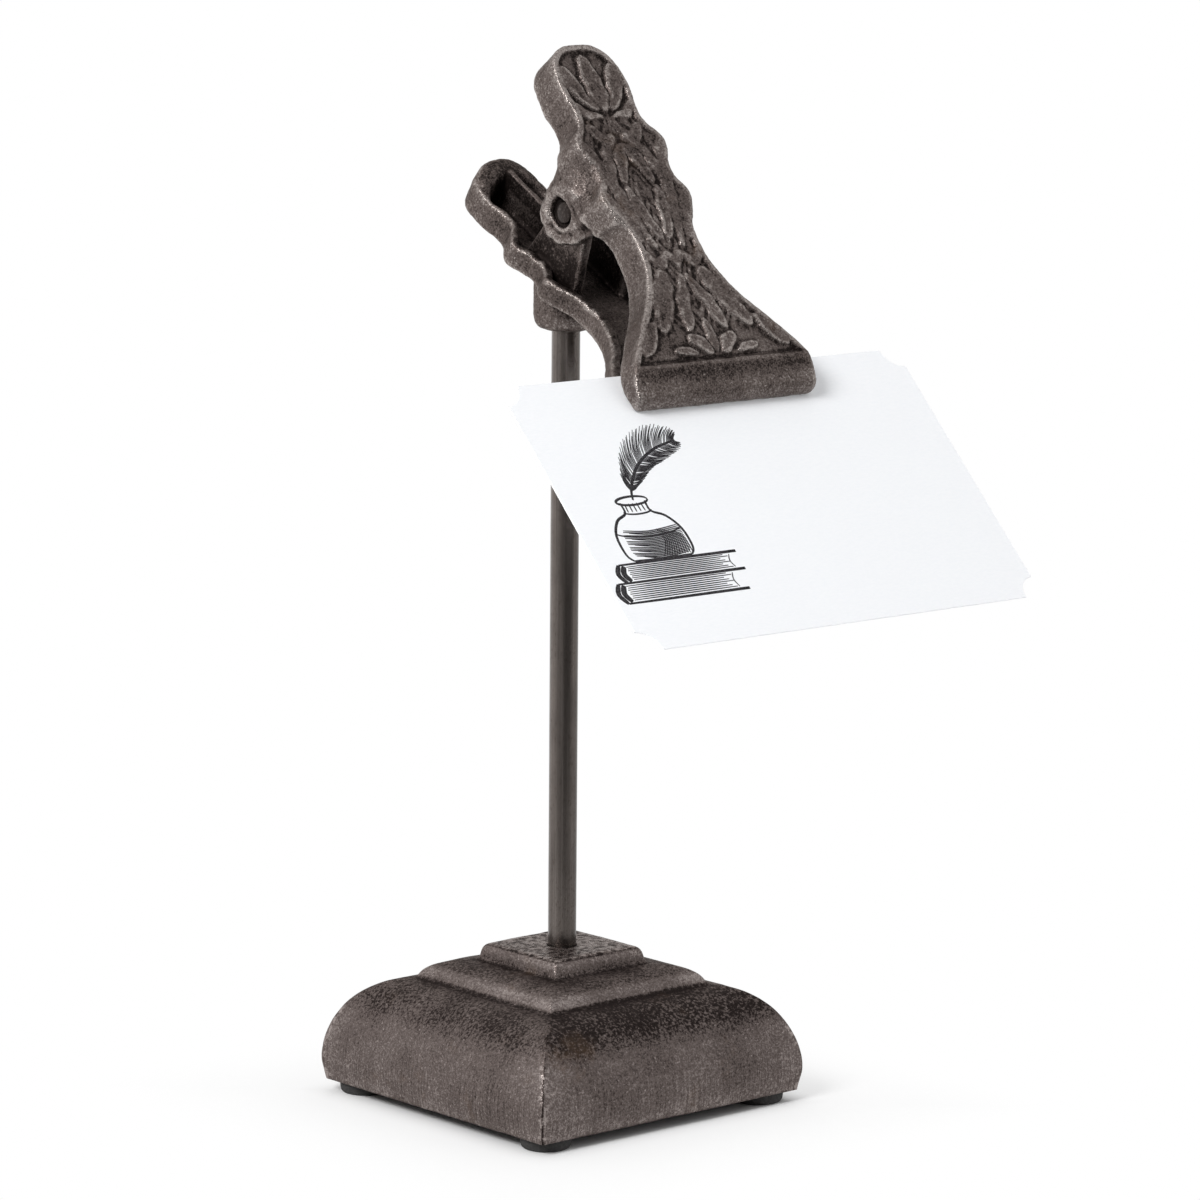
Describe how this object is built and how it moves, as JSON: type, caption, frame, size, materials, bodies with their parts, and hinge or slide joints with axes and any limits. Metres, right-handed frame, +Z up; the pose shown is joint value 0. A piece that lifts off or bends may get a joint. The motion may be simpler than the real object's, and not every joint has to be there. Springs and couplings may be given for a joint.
{
  "type": "memo clip holder",
  "caption": "Desk memo holder: a sprung cast-iron letter clip on a slim post and a stepped square base, gripping a card.",
  "frame": {"origin": "centre of the four feet on the surface they stand on, below the post's axis", "axes": "+Z up along the post, +X to the right along the jaws as seen by the user, -Y towards the user, where the card faces"},
  "size_m": [0.127, 0.1443, 0.2618],
  "materials": {
    "base_iron": "dark cast iron, fine grain, rubbed edges",
    "jaw_iron": "dark grey-brown cast iron, lighter on the raised relief",
    "post_steel": "aged steel rod, drawn along its length",
    "fixings": "dull steel",
    "pin_steel": "worn steel",
    "spring_wire": "dark spring wire",
    "foot_rubber": "matt black",
    "card_stock": "matt bluish-white card"
  },
  "bodies": {
    "stand": {"base_casting": "base_iron", "foot_front_left": "foot_rubber", "foot_front_right": "foot_rubber", "foot_back_left": "foot_rubber", "foot_back_right": "foot_rubber", "post": "post_steel", "base_washer": "fixings", "base_nut": "fixings", "back_jaw": "jaw_iron", "pivot_pin": "pin_steel", "torsion_spring": "spring_wire"},
    "front_leaf": {"front_jaw": "jaw_iron"},
    "card": {"memo_card": "card_stock"}
  },
  "joints": [
    {"name": "jaw_pivot", "type": "hinge", "parent": "stand", "child": "front_leaf", "pos_m": [0, -0.01344, 0.22252], "axis": [-1, 0, 0], "range_deg": [0, 30], "stiffness_Nm_per_rad": 0.4, "springref_deg": -34.38, "deforming": ["torsion_spring"]},
    {"name": "card_slide", "type": "slide", "parent": "stand", "child": "card", "axis": [0, -0.6884, -0.7254], "range_m": [0, 0.012]}
  ]
}
